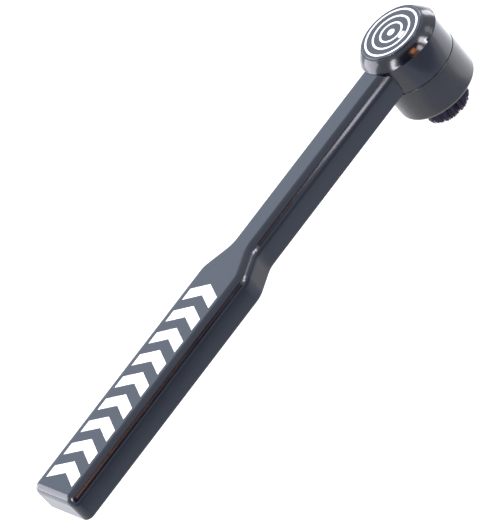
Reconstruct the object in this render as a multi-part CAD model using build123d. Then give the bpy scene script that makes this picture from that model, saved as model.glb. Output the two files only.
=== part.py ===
from build123d import *
import math
import os

# Hand tool for cleaning a stylus tip: a flat plastic bar handle with a round head at one end.
# The lower half of the head is a ring that twists, and it drives a bristle tuft in or out.
#
# Frame, in millimetres: the origin is the centre of the badge's top face, on the axis of the head.
# +Z is up out of the badge, the bristles point to -Z, and the handle runs from the head to -X.

# ---- Driving dimensions -------------------------------------------------------------------------

HEAD_R = 8.22           # upper half of the head
CAP_R = 8.5             # lower rim of the cap, a little proud of the head
RING_R = 8.32           # twist ring, a little proud of the upper half
BADGE_R = 6.6
BADGE_T = 0.55
BADGE_PROUD = 0.2       # how far the badge stands out of its recess in the cap
PRINT_T = 0.06          # depth of the white print, flush with the surface it is on

SHELL_TOP = -2.24       # plane of the handle's top face, where the cap sits
SEAM_GAP = 0.06
RING_BOTTOM = -16.1
STROKE = 5.0            # travel of the bristle tuft, made by one turn of the ring
TUFT_TIP = -20.7        # bristle tips with the tuft fully out

BAR_T = 6.12            # thickness of the handle, the same all along
GRIP_W = 13.65
STEM_W = 7.55
TAIL_X = -108.05
TAPER_START_X = -55.6
TAPER_END_X = -49.5
BEND_R = 5.0            # rounding in plan where the grip narrows to the stem
TOP_EDGE_R = 2.1
TAIL_EDGE_R = 1.6
BOTTOM_EDGE_R = 0.5

FIT = 0.08              # radial running clearance between turning or sliding pieces
EDGE_BREAK = 0.12
SEAM_EDGE = 0.06        # smaller, so that the seam stays a fine line

# ---- Derived dimensions -------------------------------------------------------------------------

SEAM_Z = SHELL_TOP - BAR_T      # underside of the upper half of the head, flush with the handle's

CAP_TOP = -BADGE_PROUD
CAP_LAND_R = BADGE_R + 0.25
CAP_RIM_H = 0.12        # height of the straight rim under the cap's slope
CAP_RIM_R = 0.15
CAP_LAND_EDGE_R = 0.12
CAP_BULGE = 0.11        # how far the cap's slope swells out from a straight line
RECESS_R = BADGE_R + 0.05
SPIGOT_R = 5.0
SPIGOT_LOW = SHELL_TOP - 0.76
SPIGOT_GAP = 0.05

WEB_LOW = -4.2          # underside of the wall across the head, above the mechanism
BORE_R = 7.0            # bore of the head under that wall
MOUTH_R = 5.5
MOUTH_EDGE_R = 0.3
RING_EDGE_R = 0.8
RING_FLOOR = RING_BOTTOM + 1.4

GUIDE_R = 5.85
GUIDE_BORE_R = 5.1
GUIDE_PLATE_LOW = WEB_LOW - 1.0
GUIDE_LOW = -14.2
PEG_X = 3.6             # two pegs on the guide's top stop it turning in the head
PEG_R = 0.5
PEG_H = 0.8
PEG_GAP = 0.05
SLEEVE_R = BORE_R - FIT
SLEEVE_BORE_R = GUIDE_R + FIT
SLEEVE_TOP = -6.3
SLEEVE_LOW = -13.05
GROOVE_R = 6.5          # bottom of the helical grooves in the sleeve
GROOVE_W = 1.3          # measured along the axis
GROOVE_LEAD_IN = 0.15   # room past the pin at the groove's closed end

PIN_R = 0.5
PIN_Z = -12.4
PIN_INNER = 2.9
PIN_OUTER = GROOVE_R - 0.1
SLOT_W = 2 * (PIN_R + 0.1)
SLOT_DEPTH = 2.4
SLOT_END_GAP = 0.2

CARRIER_R = GUIDE_BORE_R - FIT
CARRIER_TOP = -11.3
CARRIER_LOW = -15.4
CUP_R = 4.4
CUP_TOP = -13.3
GLUE_T = 0.5
BOSS_POCKET_DEPTH = 1.0
TUFT_R = 4.9            # widest part of the tuft, near its tips

END_PLAY = 0.05         # along the axis, between sleeve, washer and clip
WASHER_TOP = SLEEVE_LOW - END_PLAY
WASHER_T = 0.2
WASHER_INNER_R = GUIDE_R + 0.04
WASHER_OUTER_R = SLEEVE_R - 0.15
CLIP_TOP = WASHER_TOP - WASHER_T
CLIP_T = 0.35
CLIP_OUTER_R = SLEEVE_R - 0.25
CLIP_GROOVE_R = 5.45
CLIP_GAP_DEG = 40

SCREW_R = 1.0
SCREW_HEAD_R = 1.9
SCREW_HEAD_T = 1.0
SCREW_SEAT = -1.75
SCREW_TIP = -6.3
SCREW_HEAD_EDGE_R = 0.4
SCREW_POINT = 0.3
SCREW_GAP = 0.05        # between the shank and its clearance holes
CROSS_L = 2.0           # cross recess in the screw's head
CROSS_W = 0.45
CROSS_DEPTH = 0.55
BOSS_R = 2.0
BOSS_LOW = -6.5
PILOT_DEPTH = 0.1       # how far the pilot hole runs on below the screw

PRINT_RING_W = 0.42
PRINT_RINGS_R = (5.89, 4.25, 2.6)
DOT_R = 0.8
INDEX_W = 1.6           # short bar between the inner and the middle ring
INDEX_FROM = 2.8
INDEX_TO = 3.5

MARK_COUNT = 9
MARK_FIRST_X = -105.1
MARK_PITCH = 5.18
MARK_STROKE = 2.6
MARK_SWEEP = 2.1
MARK_HALF_H = 4.2


# ---- Helpers ------------------------------------------------------------------------------------

def rod(radius, low, high):
    """Solid cylinder on the head's axis, between two heights."""
    return Pos(0, 0, (low + high) / 2) * Cylinder(radius, high - low)


def tube(inner, outer, low, high):
    """Cylinder with a through bore, on the head's axis."""
    return rod(outer, low, high) - rod(inner, low, high)


def turned(points):
    """Solid of revolution about the head's axis from (radius, height) points."""
    outline = Polyline(*[(r, 0, z) for r, z in points], close=True)
    return revolve(make_face(outline), Axis.Z, 360)


def circle_edges(shape, radius, height):
    """Full-circle edges of one radius at one height."""
    rims = shape.edges().filter_by(GeomType.CIRCLE)
    return [e for e in rims if abs(e.radius - radius) < 0.01 and abs(e.center().Z - height) < 0.01]


def edges_at(shape, height):
    """Edges that lie wholly in one horizontal plane."""
    return shape.edges().filter_by_position(Axis.Z, height - 0.01, height + 0.01)


# ---- Handle and upper head ----------------------------------------------------------------------

def bar():
    """Flat bar of the handle, rounded as it was moulded, from the tail to the axis of the head."""
    grip = GRIP_W / 2
    stem = STEM_W / 2
    half = [(TAIL_X, grip), (TAPER_START_X, grip), (TAPER_END_X, stem), (0, stem)]
    plan = make_face(Polyline(*half, *[(x, -y) for x, y in reversed(half)], close=True))
    bends = [v for v in plan.vertices() if TAPER_START_X - 1 < v.X < TAPER_END_X + 1]
    plan = fillet(bends, BEND_R)
    body = Pos(0, 0, SHELL_TOP - BAR_T) * extrude(plan, BAR_T)

    long_top = [e for e in edges_at(body, SHELL_TOP) if TAIL_X < e.center().X < -0.1]
    body = fillet(long_top, TOP_EDGE_R)

    bar_low = SHELL_TOP - BAR_T
    tail = body.edges().filter_by_position(Axis.X, TAIL_X - 0.01, TAIL_X + 0.01)
    body = fillet([e for e in tail if e.center().Z > bar_low + 0.01], TAIL_EDGE_R)

    around_bottom = [e for e in edges_at(body, bar_low) if e.center().X < -0.1]
    return fillet(around_bottom, BOTTOM_EDGE_R)


def housing():
    """Upper half of the head, before it is bored."""
    drum = rod(HEAD_R, SEAM_Z, SHELL_TOP)
    return chamfer(circle_edges(drum, HEAD_R, SEAM_Z), SEAM_EDGE)


def grip_marks():
    """Row of plain chevrons on the grip, pointing to the head."""
    marks = []
    for i in range(MARK_COUNT):
        x = MARK_FIRST_X + i * MARK_PITCH
        chevron = Polyline(
            (x, -MARK_HALF_H),
            (x + MARK_STROKE, -MARK_HALF_H),
            (x + MARK_STROKE + MARK_SWEEP, 0),
            (x + MARK_STROKE, MARK_HALF_H),
            (x, MARK_HALF_H),
            (x + MARK_SWEEP, 0),
            close=True,
        )
        marks.append(Pos(0, 0, SHELL_TOP - PRINT_T) * extrude(make_face(chevron), PRINT_T))
    return Compound(children=marks)


def handle(marks):
    """Bar and housing in one moulding, open underneath for the mechanism."""
    body = bar() + housing()
    body -= rod(BORE_R, SEAM_Z - 1, WEB_LOW)
    body -= rod(SPIGOT_R + SPIGOT_GAP, SPIGOT_LOW - SPIGOT_GAP, SHELL_TOP + 1)
    body -= rod(SCREW_R + SCREW_GAP, WEB_LOW - 1, SHELL_TOP)
    for x in (-PEG_X, PEG_X):
        body -= Pos(x, 0, 0) * rod(PEG_R + PEG_GAP, WEB_LOW - 1, SHELL_TOP)
    return body - marks


def cap_section():
    """Half section of the cap: land, slightly swelling slope, rim and locating spigot."""
    rim_top = SHELL_TOP + CAP_RIM_H
    run = CAP_R - CAP_LAND_R
    drop = CAP_TOP - rim_top
    slope = math.hypot(run, drop)
    swell_r = (CAP_LAND_R + CAP_R) / 2 + CAP_BULGE * drop / slope
    swell_z = (CAP_TOP + rim_top) / 2 + CAP_BULGE * run / slope
    rim = Polyline((CAP_R, 0, rim_top), (CAP_R, 0, SHELL_TOP), (SPIGOT_R, 0, SHELL_TOP), (SPIGOT_R, 0, SPIGOT_LOW))
    inside = Polyline((SPIGOT_R, 0, SPIGOT_LOW), (0, 0, SPIGOT_LOW), (0, 0, CAP_TOP), (CAP_LAND_R, 0, CAP_TOP))
    swell = ThreePointArc((CAP_LAND_R, 0, CAP_TOP), (swell_r, 0, swell_z), (CAP_R, 0, rim_top))
    return make_face(Wire([*rim.edges(), *inside.edges(), swell]))


def top_cap():
    """Sloping cap over the head, with a recess for the badge and a pocket for the screw head."""
    blank = revolve(cap_section(), Axis.Z, 360)
    blank = fillet(circle_edges(blank, CAP_R, SHELL_TOP + CAP_RIM_H), CAP_RIM_R)
    blank = fillet(circle_edges(blank, CAP_LAND_R, CAP_TOP), CAP_LAND_EDGE_R)
    blank -= rod(RECESS_R, -BADGE_T, CAP_TOP + 1)
    blank -= rod(SCREW_HEAD_R + 0.2, SCREW_SEAT, CAP_TOP + 1)
    return blank - rod(SCREW_R + SCREW_GAP, SPIGOT_LOW - 1, CAP_TOP)


def badge_rings():
    """White print of the badge: concentric rings, a centre dot and a short index bar."""
    rings = [tube(r - PRINT_RING_W, r, -PRINT_T, 0) for r in PRINT_RINGS_R]
    dot = rod(DOT_R, -PRINT_T, 0)
    index = Box(INDEX_W, INDEX_TO - INDEX_FROM, PRINT_T)
    index = Pos(0, -(INDEX_FROM + INDEX_TO) / 2, -PRINT_T / 2) * index
    return Compound(children=rings + [dot, index])


def badge_disc(rings):
    """Thin disc glued into the cap's recess, with the print let into its face."""
    disc = rod(BADGE_R, -BADGE_T, 0)
    return chamfer(circle_edges(disc, BADGE_R, 0), EDGE_BREAK) - rings


def cap_screw():
    """Pan-head screw under the badge that clamps cap, housing and guide tube together."""
    top = SCREW_SEAT + SCREW_HEAD_T
    head = rod(SCREW_HEAD_R, SCREW_SEAT, top)
    head = fillet(circle_edges(head, SCREW_HEAD_R, top), SCREW_HEAD_EDGE_R)
    for turn in (0, 90):
        head -= Rot(0, 0, turn) * Pos(0, 0, top) * Box(CROSS_L, CROSS_W, 2 * CROSS_DEPTH)
    shank = rod(SCREW_R, SCREW_TIP, SCREW_SEAT)
    return head + chamfer(circle_edges(shank, SCREW_R, SCREW_TIP), SCREW_POINT)


# ---- Guide, fixed inside the head ---------------------------------------------------------------

def guide_tube():
    """Closed-top tube under the housing wall, with two straight slots that stop the carrier turning."""
    body = rod(GUIDE_R, GUIDE_LOW, WEB_LOW) - rod(GUIDE_BORE_R, GUIDE_LOW - 1, GUIDE_PLATE_LOW)
    body += rod(BOSS_R, BOSS_LOW, GUIDE_PLATE_LOW)
    for x in (-PEG_X, PEG_X):
        body += Pos(x, 0, 0) * rod(PEG_R, WEB_LOW, WEB_LOW + PEG_H)
    body -= rod(SCREW_R, SCREW_TIP - PILOT_DEPTH, WEB_LOW + 1)

    slot_low = PIN_Z - PIN_R - SLOT_END_GAP
    slot_high = PIN_Z + STROKE + PIN_R + SLOT_END_GAP
    length = slot_high - slot_low
    for side in (-1, 1):
        wall_y = side * (GUIDE_BORE_R + GUIDE_R) / 2
        body -= Pos(0, wall_y, (slot_low + slot_high) / 2) * Box(SLOT_W, SLOT_DEPTH, length)

    return body - tube(CLIP_GROOVE_R, GUIDE_R + 1, CLIP_TOP - CLIP_T - END_PLAY, CLIP_TOP)


def thrust_washer():
    """Flat washer between the turning sleeve and the retaining clip."""
    return tube(WASHER_INNER_R, WASHER_OUTER_R, WASHER_TOP - WASHER_T, WASHER_TOP)


def retaining_clip():
    """Open spring clip in the guide's groove, which holds the ring and sleeve on."""
    clip = tube(CLIP_GROOVE_R, CLIP_OUTER_R, CLIP_TOP - CLIP_T, CLIP_TOP)
    reach = 2 * HEAD_R
    half_width = reach * math.tan(math.radians(CLIP_GAP_DEG / 2))
    wedge = make_face(Polyline((0, 0), (-reach, half_width), (-reach, -half_width), close=True))
    return clip - Pos(0, 0, CLIP_TOP - CLIP_T - 0.5) * extrude(wedge, CLIP_T + 1)


# ---- Twist ring and cam sleeve ------------------------------------------------------------------

def twist_ring():
    """Lower half of the head, turned by the fingers, with the mouth for the bristles in its floor."""
    top = SEAM_Z - SEAM_GAP
    body = rod(RING_R, RING_BOTTOM, top)
    body = fillet(circle_edges(body, RING_R, RING_BOTTOM), RING_EDGE_R)
    body = chamfer(circle_edges(body, RING_R, top), SEAM_EDGE)
    body -= rod(SLEEVE_R, RING_FLOOR, top + 1)
    body -= rod(MOUTH_R, RING_BOTTOM - 1, RING_FLOOR + 1)
    return fillet(circle_edges(body, MOUTH_R, RING_BOTTOM), MOUTH_EDGE_R)


def groove(start_deg):
    """One helical groove, from just under the pin's lowest place up through the sleeve's top."""
    inner = SLEEVE_BORE_R - 0.3
    mid_r = (inner + GROOVE_R) / 2
    slope = math.atan(STROKE / (2 * math.pi * mid_r))
    lead_in_deg = math.degrees((PIN_R + GROOVE_LEAD_IN) / mid_r)
    low = PIN_Z - STROKE * lead_in_deg / 360
    path = Helix(STROKE, SLEEVE_TOP + 0.8 - low, mid_r)
    start = Plane(path @ 0, x_dir=(1, 0, 0), z_dir=path % 0)
    section = start * Rectangle(GROOVE_R - inner, GROOVE_W * math.cos(slope))
    cut = sweep(section, path, is_frenet=True)
    return Rot(0, 0, start_deg - lead_in_deg) * Pos(0, 0, low) * cut


def cam_sleeve():
    """Sleeve pressed into the ring; its two helical grooves lift the pins as the ring turns."""
    body = tube(SLEEVE_BORE_R, SLEEVE_R, SLEEVE_LOW, SLEEVE_TOP)
    for start_deg in (90, 270):
        body -= groove(start_deg)
    return body


# ---- Brush, sliding inside the guide ------------------------------------------------------------

def drive_pins():
    """Two pins through the carrier's wall, the guide's slots and into the sleeve's grooves."""
    length = PIN_OUTER - PIN_INNER
    pin = Rot(90, 0, 0) * Cylinder(PIN_R, length)
    middle = (PIN_OUTER + PIN_INNER) / 2
    return Compound(children=[Pos(0, side * middle, PIN_Z) * pin for side in (-1, 1)])


def brush_carrier(pins):
    """Plunger with a cup for the bristles below and room for the screw boss above."""
    body = rod(CARRIER_R, CARRIER_LOW, CARRIER_TOP)
    body -= rod(CUP_R, CARRIER_LOW - 1, CUP_TOP)
    body -= rod(BOSS_R + 0.5, CARRIER_TOP - BOSS_POCKET_DEPTH, CARRIER_TOP + 1)
    body = chamfer(circle_edges(body, CARRIER_R, CARRIER_LOW), EDGE_BREAK)
    return body - pins


def bristle_glue():
    """Disc of set glue that holds the bristle roots in the cup."""
    return rod(CUP_R, CUP_TOP - GLUE_T, CUP_TOP)


def bristle_tuft():
    """Round tuft of bristles, slightly flared, as one solid of its outer shape."""
    return turned([
        (0, CUP_TOP - GLUE_T),
        (CUP_R, CUP_TOP - GLUE_T),
        (CUP_R, CARRIER_LOW),
        (TUFT_R - 0.25, CARRIER_LOW - 1.2),
        (TUFT_R - 0.02, CARRIER_LOW - 3.2),
        (TUFT_R, TUFT_TIP + 0.6),
        (TUFT_R - 0.2, TUFT_TIP + 0.2),
        (TUFT_R - 0.6, TUFT_TIP),
        (0, TUFT_TIP),
    ])


# ---- Nodes --------------------------------------------------------------------------------------

def main():
    os.makedirs("parts", exist_ok=True)
    marks = grip_marks()
    rings = badge_rings()
    pins = drive_pins()
    nodes = {
        "handle": handle(marks),
        "grip_marks": marks,
        "top_cap": top_cap(),
        "badge_disc": badge_disc(rings),
        "badge_rings": rings,
        "cap_screw": cap_screw(),
        "guide_tube": guide_tube(),
        "thrust_washer": thrust_washer(),
        "retaining_clip": retaining_clip(),
        "twist_ring": twist_ring(),
        "cam_sleeve": cam_sleeve(),
        "brush_carrier": brush_carrier(pins),
        "drive_pins": pins,
        "bristle_glue": bristle_glue(),
        "bristle_tuft": bristle_tuft(),
    }
    for name, shape in nodes.items():
        export_step(shape, f"parts/{name}.step")


main()
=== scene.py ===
import math
import random

import bpy
from mathutils import Matrix, Vector


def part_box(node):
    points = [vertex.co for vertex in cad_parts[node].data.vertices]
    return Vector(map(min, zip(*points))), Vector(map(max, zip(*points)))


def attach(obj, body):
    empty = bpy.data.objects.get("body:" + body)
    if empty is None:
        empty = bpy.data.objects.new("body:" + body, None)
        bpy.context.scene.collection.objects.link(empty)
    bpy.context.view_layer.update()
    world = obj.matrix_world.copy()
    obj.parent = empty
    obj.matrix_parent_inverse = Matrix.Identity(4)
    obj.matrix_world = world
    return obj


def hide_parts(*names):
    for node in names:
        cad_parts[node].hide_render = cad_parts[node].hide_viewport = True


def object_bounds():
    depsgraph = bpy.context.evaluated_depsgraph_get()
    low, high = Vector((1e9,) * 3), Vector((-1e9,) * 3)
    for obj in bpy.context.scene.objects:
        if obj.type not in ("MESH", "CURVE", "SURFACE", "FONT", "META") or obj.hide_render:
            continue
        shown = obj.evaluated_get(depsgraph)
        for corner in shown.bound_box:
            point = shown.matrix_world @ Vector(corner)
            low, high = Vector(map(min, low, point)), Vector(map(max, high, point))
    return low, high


# A stylus tip cleaning brush, in metres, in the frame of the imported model: the origin is the centre
# of the badge's face, +Z points out of it, and the handle runs from the head to -X.

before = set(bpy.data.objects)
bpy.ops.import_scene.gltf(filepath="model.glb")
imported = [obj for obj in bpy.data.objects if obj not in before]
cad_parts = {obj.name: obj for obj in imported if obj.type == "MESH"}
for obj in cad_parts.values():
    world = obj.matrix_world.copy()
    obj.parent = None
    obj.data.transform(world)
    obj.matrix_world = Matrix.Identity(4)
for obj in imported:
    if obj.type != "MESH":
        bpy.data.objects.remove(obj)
cad_low, cad_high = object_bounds()

MM = 0.001

# ---- Camera ---------------------------------------------------------------------------------------

CAMERA_AZIMUTH = -17.91      # degrees, from -Y towards +X
CAMERA_ELEVATION = 33.19
CAMERA_ROLL = -42.58
CAMERA_DISTANCE = 793.2 * MM
CAMERA_CLIP_START = 0.01
CAMERA_LENS = 296.1          # millimetres
CAMERA_AIM = Vector((-53.20, -6.71, -2.16)) * MM


def direction(azimuth, elevation):
    """Unit vector at an azimuth counted from -Y towards +X, and an elevation, in degrees."""
    a = math.radians(azimuth)
    e = math.radians(elevation)
    return Vector((math.sin(a) * math.cos(e), -math.cos(a) * math.cos(e), math.sin(e)))


def make_camera():
    away = direction(CAMERA_AZIMUTH, CAMERA_ELEVATION)
    data = bpy.data.cameras.new("camera")
    data.lens = CAMERA_LENS
    data.clip_start = CAMERA_CLIP_START
    camera = bpy.data.objects.new("camera", data)
    bpy.context.scene.collection.objects.link(camera)
    turn = away.to_track_quat("Z", "Y").to_matrix().to_4x4()
    roll = Matrix.Rotation(math.radians(CAMERA_ROLL), 4, "Z")
    camera.matrix_world = Matrix.Translation(CAMERA_AIM + away * CAMERA_DISTANCE) @ turn @ roll
    bpy.context.scene.camera = camera


# ---- Floor, world and lights ----------------------------------------------------------------------

FLOOR_HALF = 2.0             # metres
FLOOR_GLOW = 1.02
CARD_LIFT = 0.2 * MM         # height of the lying cards over the floor
LIGHT_POWER = 4              # watts per square metre of a lamp at a brightness of 1
WORLD_COLOUR = (1.15, 1.22, 1.36, 1)

DARK_AZIMUTH = -20           # the unlit side of the room, on the camera's side; sizes in millimetres
DARK_ELEVATION = 34
DARK_DISTANCE = 500
DARK_WIDTH = 600
DARK_HEIGHT = 460


def grey(value, tint=(1, 1, 1)):
    return (value * tint[0], value * tint[1], value * tint[2], 1)


def plane(name, corners):
    """Flat face through a list of corners."""
    mesh = bpy.data.meshes.new(name)
    mesh.from_pydata(corners, [], [tuple(range(len(corners)))])
    obj = bpy.data.objects.new(name, mesh)
    bpy.context.scene.collection.objects.link(obj)
    return obj


def plain_material(name, glow, colour=(0.93, 0.96, 1.0, 1)):
    """Matt material for the studio, with a glow that doesn't depend on the lamps."""
    material = bpy.data.materials.new(name)
    material.use_nodes = True
    shader = material.node_tree.nodes["Principled BSDF"]
    shader.inputs["Base Color"].default_value = grey(0.3 * min(glow, 1.0) + 0.02)
    shader.inputs["Roughness"].default_value = 1.0
    shader.inputs["Specular IOR Level"].default_value = 0.0
    shader.inputs["Emission Color"].default_value = colour
    shader.inputs["Emission Strength"].default_value = glow
    return material


def level_plane(name, low, high, z, material):
    """Horizontal rectangle between two (x, y) corners, in metres."""
    corners = [(low[0], low[1], z), (high[0], low[1], z), (high[0], high[1], z), (low[0], high[1], z)]
    surface = plane(name, corners)
    surface.data.materials.append(material)
    return surface


def wall_plane(name, azimuth, elevation, distance, width, height, material):
    """Upright rectangle that faces the head, with its sizes in millimetres."""
    away = direction(azimuth, elevation)
    side = away.cross(Vector((0, 0, 1))).normalized()
    rise = side.cross(away)
    middle = away * distance
    corners = []
    for i, j in ((-1, -1), (1, -1), (1, 1), (-1, 1)):
        corner = middle + side * i * width / 2 + rise * j * height / 2
        corners.append(tuple(corner * MM))
    surface = plane(name, corners)
    surface.data.materials.append(material)
    return surface


def make_floor():
    """Pale floor at the height of the bristle tips, with an even glow of its own."""
    h = FLOOR_HALF
    level_plane("floor", (-h, -h), (h, h), cad_low[2], plain_material("floor", FLOOR_GLOW, (1, 1, 1, 1)))


def make_cards():
    """Cards that the camera doesn't see: they set what the tool's glossy faces reflect."""
    z = cad_low[2] + CARD_LIFT
    white = plain_material("white_card", 2.4)
    pale = plain_material("pale_card", 1.15)
    blue = plain_material("blue_card", 0.95, (0.72, 0.82, 1.0, 1))
    dim = plain_material("dim_card", 0.42, (0.70, 0.80, 1.0, 1))
    black = plain_material("black_card", 0.0)
    cards = [
        level_plane("head_card", (0.010, -0.020), (0.12, 0.16), z, white),
        level_plane("far_card", (-0.25, 0.036), (0.010, 0.25), z, white),
        level_plane("tail_card", (-0.25, 0.010), (-0.09, 0.036), z, pale),
        level_plane("near_card", (-0.16, -0.028), (-0.020, -0.017), z, blue),
        level_plane("drum_card", (-0.020, -0.028), (0.008, -0.009), z, blue),
        level_plane("front_card", (-0.40, -0.45), (0.30, -0.028), z, dim),
        wall_plane("room_card", DARK_AZIMUTH, DARK_ELEVATION, DARK_DISTANCE,
                   DARK_WIDTH, DARK_HEIGHT, black),
    ]
    for card in cards:
        card.visible_camera = False


def make_world():
    world = bpy.data.worlds.new("studio")
    bpy.context.scene.world = world
    world.use_nodes = True
    background = world.node_tree.nodes["Background"]
    background.inputs["Color"].default_value = WORLD_COLOUR
    background.inputs["Strength"].default_value = 1.0


def softbox(name, azimuth, elevation, distance, width, height, brightness, colour, target=(0, 0, -5)):
    """Rectangular light that faces a point of the object, given in millimetres."""
    away = direction(azimuth, elevation)
    data = bpy.data.lights.new(name, "AREA")
    data.shape = "RECTANGLE"
    data.size = width * MM
    data.size_y = height * MM
    data.energy = LIGHT_POWER * brightness * data.size * data.size_y
    data.color = colour
    light = bpy.data.objects.new(name, data)
    bpy.context.scene.collection.objects.link(light)
    turn = away.to_track_quat("Z", "Y").to_matrix().to_4x4()
    light.matrix_world = Matrix.Translation(Vector(target) * MM + away * distance * MM) @ turn
    light.visible_camera = False


def make_lights():
    cool = (0.66, 0.78, 1.0)
    lilac = (0.92, 0.90, 1.0)
    warm = (1.0, 0.36, 0.08)
    amber = (1.0, 0.48, 0.20)
    softbox("back_panel", 162, 33, 700, 800, 260, 1.05, cool, target=(-50, 0, -5))
    softbox("cap_right", 31, 36, 120, 24, 44, 13, lilac)
    softbox("cap_left", -77, 37, 300, 50, 130, 15, lilac)
    softbox("cap_warm", -8, 44, 500, 100, 90, 7, warm)
    softbox("rear_left", -148, 19, 500, 350, 330, 4.5, lilac, target=(-50, 0, -5))
    softbox("cap_far_side", 112, 6, 240, 60, 100, 6, lilac)
    softbox("taper_spot", 40, 27, 500, 60, 60, 16, lilac, target=(-52, 0, -5))
    softbox("taper_line", 67, 26, 500, 110, 110, 2.2, lilac, target=(-52, 0, -5))
    softbox("stem_streak", 20, 27, 110, 18, 50, 8, lilac, target=(-18, -3, -4))
    softbox("grip_streak", 19, 34, 230, 130, 26, 1.4, amber, target=(-66, 0, -5))


# ---- Materials ------------------------------------------------------------------------------------

class Nodes:
    """Short way to add and link the shader nodes of one material."""

    def __init__(self, name):
        self.material = bpy.data.materials.new(name)
        self.material.use_nodes = True
        self.tree = self.material.node_tree
        self.shader = self.tree.nodes["Principled BSDF"]
        coordinates = self.tree.nodes.new("ShaderNodeTexCoord")
        self.place = coordinates.outputs["Object"]

    def put(self, socket, value):
        if hasattr(value, "is_output"):
            self.tree.links.new(value, socket)
        else:
            socket.default_value = value

    def stretched(self, scale):
        mapping = self.tree.nodes.new("ShaderNodeMapping")
        self.put(mapping.inputs["Vector"], self.place)
        mapping.inputs["Scale"].default_value = scale
        return mapping.outputs["Vector"]

    def noise(self, scale, detail=4.0, roughness=0.5, vector=None):
        node = self.tree.nodes.new("ShaderNodeTexNoise")
        self.put(node.inputs["Vector"], vector or self.place)
        node.inputs["Scale"].default_value = scale
        node.inputs["Detail"].default_value = detail
        node.inputs["Roughness"].default_value = roughness
        return node.outputs["Fac"]

    def spread(self, value, low, high, to_low=0.0, to_high=1.0):
        """Maps low..high of a value to to_low..to_high, and holds it there outside."""
        node = self.tree.nodes.new("ShaderNodeMapRange")
        self.put(node.inputs["Value"], value)
        ends = {"From Min": low, "From Max": high, "To Min": to_low, "To Max": to_high}
        for socket, number in ends.items():
            node.inputs[socket].default_value = number
        return node.outputs["Result"]

    def math(self, operation, a, b):
        node = self.tree.nodes.new("ShaderNodeMath")
        node.operation = operation
        self.put(node.inputs[0], a)
        self.put(node.inputs[1], b)
        return node.outputs["Value"]

    def mix(self, factor, a, b):
        node = self.tree.nodes.new("ShaderNodeMix")
        node.data_type = "RGBA"
        self.put(node.inputs["Factor"], factor)
        self.put(node.inputs["A"], a)
        self.put(node.inputs["B"], b)
        return node.outputs["Result"]

    def bump(self, height, depth, strength=1.0, below=None):
        node = self.tree.nodes.new("ShaderNodeBump")
        self.put(node.inputs["Height"], height)
        node.inputs["Distance"].default_value = depth
        node.inputs["Strength"].default_value = strength
        if below:
            self.put(node.inputs["Normal"], below)
        return node.outputs["Normal"]

    def edges(self, radius):
        """About 1 on sharp outer edges and 0 on flats, from how a bevel would turn the normal."""
        bevel = self.tree.nodes.new("ShaderNodeBevel")
        bevel.samples = 4
        bevel.inputs["Radius"].default_value = radius
        geometry = self.tree.nodes.new("ShaderNodeNewGeometry")
        dot = self.tree.nodes.new("ShaderNodeVectorMath")
        dot.operation = "DOT_PRODUCT"
        self.put(dot.inputs[0], bevel.outputs["Normal"])
        self.put(dot.inputs[1], geometry.outputs["Normal"])
        return self.spread(dot.outputs["Value"], 0.98, 0.80)

    def finish(self, **inputs):
        for name, value in inputs.items():
            self.put(self.shader.inputs[name.replace("_", " ")], value)
        return self.material


def moulded_plastic(name, dark, light, rough, grain=0.00001, scratch_axis=(40, 900, 900)):
    """Moulded plastic: cloudy colour, fine grain, hairline scratches and paler rubbed edges."""
    n = Nodes(name)
    cloud = n.noise(140, 3)
    speck = n.noise(2600, 2)
    hair = n.noise(6, 3, 0.6, n.stretched(scratch_axis))
    scratches = n.spread(hair, 0.62, 0.70)
    rub = n.math("MULTIPLY", n.edges(0.25 * MM), n.spread(n.noise(900, 3), 0.35, 0.65))
    colour = n.mix(n.spread(cloud, 0.3, 0.7), dark, light)
    colour = n.mix(n.math("MULTIPLY", rub, 0.35), colour, grey(0.10, (0.95, 0.98, 1.05)))
    base_gloss = n.spread(cloud, 0.3, 0.7, rough - 0.03, rough + 0.03)
    gloss = n.math("ADD", base_gloss, n.math("MULTIPLY", scratches, 0.10))
    gloss = n.math("ADD", gloss, n.math("MULTIPLY", rub, 0.12))
    height = n.bump(speck, grain, 0.5)
    height = n.bump(scratches, 0.000002, 0.4, height)
    return n.finish(Base_Color=colour, Roughness=gloss, Normal=height, IOR=1.5)


def turned_plastic(name, dark, light, rough):
    """Satin plastic with faint rings round the head's axis, as on the wall of the head."""
    return moulded_plastic(name, dark, light, rough, 0.000014, (60, 60, 2600))


def ink(name):
    """White print, a little uneven, with pinholes where the ink is thin."""
    n = Nodes(name)
    patch = n.noise(500, 4, 0.6)
    holes = n.spread(n.noise(3800, 2), 0.70, 0.76)
    colour = n.mix(n.spread(patch, 0.3, 0.7), grey(0.86, (0.98, 1.0, 1.0)), grey(0.95))
    colour = n.mix(n.math("MULTIPLY", holes, 0.25), colour, grey(0.35))
    gloss = n.spread(patch, 0.3, 0.7, 0.42, 0.55)
    return n.finish(Base_Color=colour, Roughness=gloss, Normal=n.bump(n.noise(2500, 3), 0.000004, 0.5))


def metal(name, dark, light, rough):
    """Plated or oiled steel with fine directional marks and dull patches."""
    n = Nodes(name)
    marks = n.noise(1.2, 4, 0.6, n.stretched((3000, 3000, 60)))
    patch = n.noise(700, 3)
    colour = n.mix(n.spread(patch, 0.3, 0.7), dark, light)
    gloss = n.spread(marks, 0.3, 0.7, rough - 0.06, rough + 0.10)
    height = n.bump(marks, 0.000003, 0.4)
    return n.finish(Base_Color=colour, Roughness=gloss, Metallic=1.0, Normal=height)


def glue(name):
    """Set amber glue with small bubbles."""
    n = Nodes(name)
    bubbles = n.spread(n.noise(1800, 2), 0.60, 0.72)
    colour = n.mix(bubbles, (0.36, 0.20, 0.05, 1), (0.62, 0.42, 0.16, 1))
    return n.finish(Base_Color=colour, Roughness=n.spread(bubbles, 0, 1, 0.12, 0.3),
                    Normal=n.bump(bubbles, 0.00003, 0.5))


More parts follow.
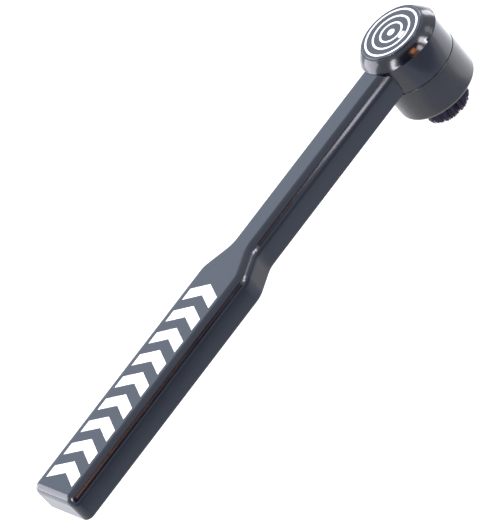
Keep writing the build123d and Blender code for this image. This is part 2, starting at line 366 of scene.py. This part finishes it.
def bristle(name):
    """Dark nylon fibre with a violet cast, paler and drier in places."""
    n = Nodes(name)
    strand = n.noise(1.0, 2, 0.5, n.stretched((1500, 1500, 60)))
    band = n.noise(700, 3)
    colour = n.mix(n.spread(strand, 0.35, 0.65), (0.002, 0.002, 0.006, 1), (0.024, 0.020, 0.062, 1))
    colour = n.mix(n.spread(band, 0.45, 0.75, 0.0, 0.4), colour, (0.030, 0.028, 0.045, 1))
    return n.finish(Base_Color=colour, Roughness=n.spread(strand, 0.3, 0.7, 0.35, 0.55),
                    Normal=n.bump(strand, 0.00001, 0.4), Specular_IOR_Level=0.3)


def paint(node, material):
    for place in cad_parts[node].material_slots:
        place.material = material


def paint_cad():
    handle = moulded_plastic("handle_plastic", (0.002, 0.004, 0.010, 1), (0.003, 0.006, 0.014, 1), 0.17)
    cap = moulded_plastic("cap_plastic", (0.002, 0.003, 0.006, 1), (0.003, 0.004, 0.008, 1), 0.16)
    badge = moulded_plastic("badge_plastic", (0.003, 0.005, 0.010, 1), (0.004, 0.007, 0.014, 1), 0.22)
    ring = turned_plastic("ring_plastic", (0.003, 0.004, 0.007, 1), (0.005, 0.006, 0.010, 1), 0.26)
    pale = moulded_plastic("acetal", grey(0.58, (1.0, 0.98, 0.90)), grey(0.68, (1.0, 0.98, 0.92)), 0.38)
    carrier = moulded_plastic("carrier_plastic", grey(0.018), grey(0.030), 0.35)
    nylon = moulded_plastic("nylon", grey(0.62, (1.0, 0.96, 0.84)), grey(0.72, (1.0, 0.97, 0.86)), 0.42)
    print_white = ink("print_white")
    spring = metal("spring_steel", grey(0.20), grey(0.32), 0.30)
    zinc = metal("zinc_steel", grey(0.50, (1.0, 1.0, 0.97)), grey(0.66), 0.28)
    for node, material in {
        "handle": handle,
        "top_cap": cap,
        "badge_disc": badge,
        "twist_ring": ring,
        "badge_rings": print_white,
        "grip_marks": print_white,
        "cap_screw": zinc,
        "guide_tube": pale,
        "cam_sleeve": pale,
        "thrust_washer": nylon,
        "retaining_clip": spring,
        "drive_pins": spring,
        "brush_carrier": carrier,
        "bristle_glue": glue("set_glue"),
    }.items():
        paint(node, material)


# ---- Bristles -------------------------------------------------------------------------------------

FIBRE_COUNT = 1150
FIBRE_R = 0.115 * MM
FIBRE_SIDES = 5
FIBRE_STEPS = 6
CLUMP_COUNT = 10
LEAN = -0.60 * MM            # how far the tips lean towards the handle
SEED = 11
ROOT_R = 4.25 * MM           # inside the carrier's cup
TAPER = 0.25                 # share of a fibre's radius that is lost at its tip
BEND_POWER = 1.7
GATHER = (0.08, 0.20)        # share of the way from a tip's own place to its bundle's centre
BUNDLE_REACH = (0.66, 0.76)  # places of the outer bundles, as shares of the tuft's radius
BUNDLE_SHIFT = 0.2           # of the angle between two bundles

# Unevenness of the tips, in millimetres.
BUNDLE_TRIM = 0.30
TIP_SCATTER = 0.08
TIP_DOME = 0.2
TIP_TRIM = 0.12


def clump_centres(radius, rng):
    """Centres of the bundles that the fibre tips gather into: one in the middle, the rest around it."""
    centres = [(0.0, 0.0)]
    for i in range(CLUMP_COUNT - 1):
        angle = 2 * math.pi * (i + rng.uniform(-BUNDLE_SHIFT, BUNDLE_SHIFT)) / (CLUMP_COUNT - 1)
        reach = radius * rng.uniform(*BUNDLE_REACH)
        centres.append((reach * math.cos(angle), reach * math.sin(angle)))
    return centres


def add_fibre(points, radii, vertices, faces):
    """One tapered fibre along a line of points, closed at both ends."""
    base = len(vertices)
    for point, radius in zip(points, radii):
        for k in range(FIBRE_SIDES):
            angle = 2 * math.pi * k / FIBRE_SIDES
            x = point[0] + radius * math.cos(angle)
            y = point[1] + radius * math.sin(angle)
            vertices.append((x, y, point[2]))
    for i in range(len(points) - 1):
        for k in range(FIBRE_SIDES):
            a = base + i * FIBRE_SIDES + k
            b = base + i * FIBRE_SIDES + (k + 1) % FIBRE_SIDES
            faces.append((a, b, b + FIBRE_SIDES, a + FIBRE_SIDES))
    last = base + (len(points) - 1) * FIBRE_SIDES
    faces.append(tuple(base + k for k in reversed(range(FIBRE_SIDES))))
    faces.append(tuple(last + k for k in range(FIBRE_SIDES)))


def fibre_line(root, tip):
    """Points and radii of one fibre, straight at its root and bending towards its tip."""
    points = []
    radii = []
    for s in range(FIBRE_STEPS + 1):
        t = s / FIBRE_STEPS
        bend = t ** BEND_POWER
        points.append((
            root.x + (tip.x - root.x) * bend,
            root.y + (tip.y - root.y) * bend,
            root.z + (tip.z - root.z) * t,
        ))
        radii.append(FIBRE_R * (1.0 - TAPER * t))
    return points, radii


def tuft_mesh(low, high):
    """Mesh of all fibres, between the corners of the tuft's box."""
    rng = random.Random(SEED)
    tip_r = (high.x - low.x) / 2 - FIBRE_R
    clumps = clump_centres(tip_r, rng)
    trims = [rng.uniform(0.0, BUNDLE_TRIM) * MM for _ in clumps]
    vertices = []
    faces = []
    golden = math.pi * (3 - math.sqrt(5))
    for i in range(FIBRE_COUNT):
        share = math.sqrt((i + 0.5) / FIBRE_COUNT)
        angle = i * golden
        root = Vector((ROOT_R * share * math.cos(angle), ROOT_R * share * math.sin(angle), high.z))
        tip = Vector((tip_r * share * math.cos(angle), tip_r * share * math.sin(angle), 0))
        nearest = min(range(CLUMP_COUNT), key=lambda c: (Vector((*clumps[c], 0)) - tip).length)
        tip = tip.lerp(Vector((*clumps[nearest], 0)), rng.uniform(*GATHER))
        tip.x += LEAN + rng.gauss(0, TIP_SCATTER) * MM
        tip.y += rng.gauss(0, TIP_SCATTER) * MM
        dome = (share ** 8) * TIP_DOME * MM
        tip.z = low.z + trims[nearest] + dome + rng.uniform(0, TIP_TRIM) * MM
        points, radii = fibre_line(root, tip)
        add_fibre(points, radii, vertices, faces)
    mesh = bpy.data.meshes.new("bristles")
    mesh.from_pydata(vertices, [], faces)
    mesh.polygons.foreach_set("use_smooth", [len(p.vertices) == 4 for p in mesh.polygons])
    mesh.validate()
    return mesh


def make_bristles():
    """Tuft of separate fibres, set in the carrier's cup, gathered into bundles at the tips."""
    low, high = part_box("bristle_tuft")
    tuft = bpy.data.objects.new("bristles", tuft_mesh(low, high))
    bpy.context.scene.collection.objects.link(tuft)
    tuft.data.materials.append(bristle("bristle_fibre"))
    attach(tuft, "brush")
    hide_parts("bristle_tuft")


# ---- Scene ----------------------------------------------------------------------------------------

bpy.context.scene.view_settings.view_transform = "Standard"
make_camera()
make_floor()
make_world()
make_cards()
make_lights()
paint_cad()
make_bristles()
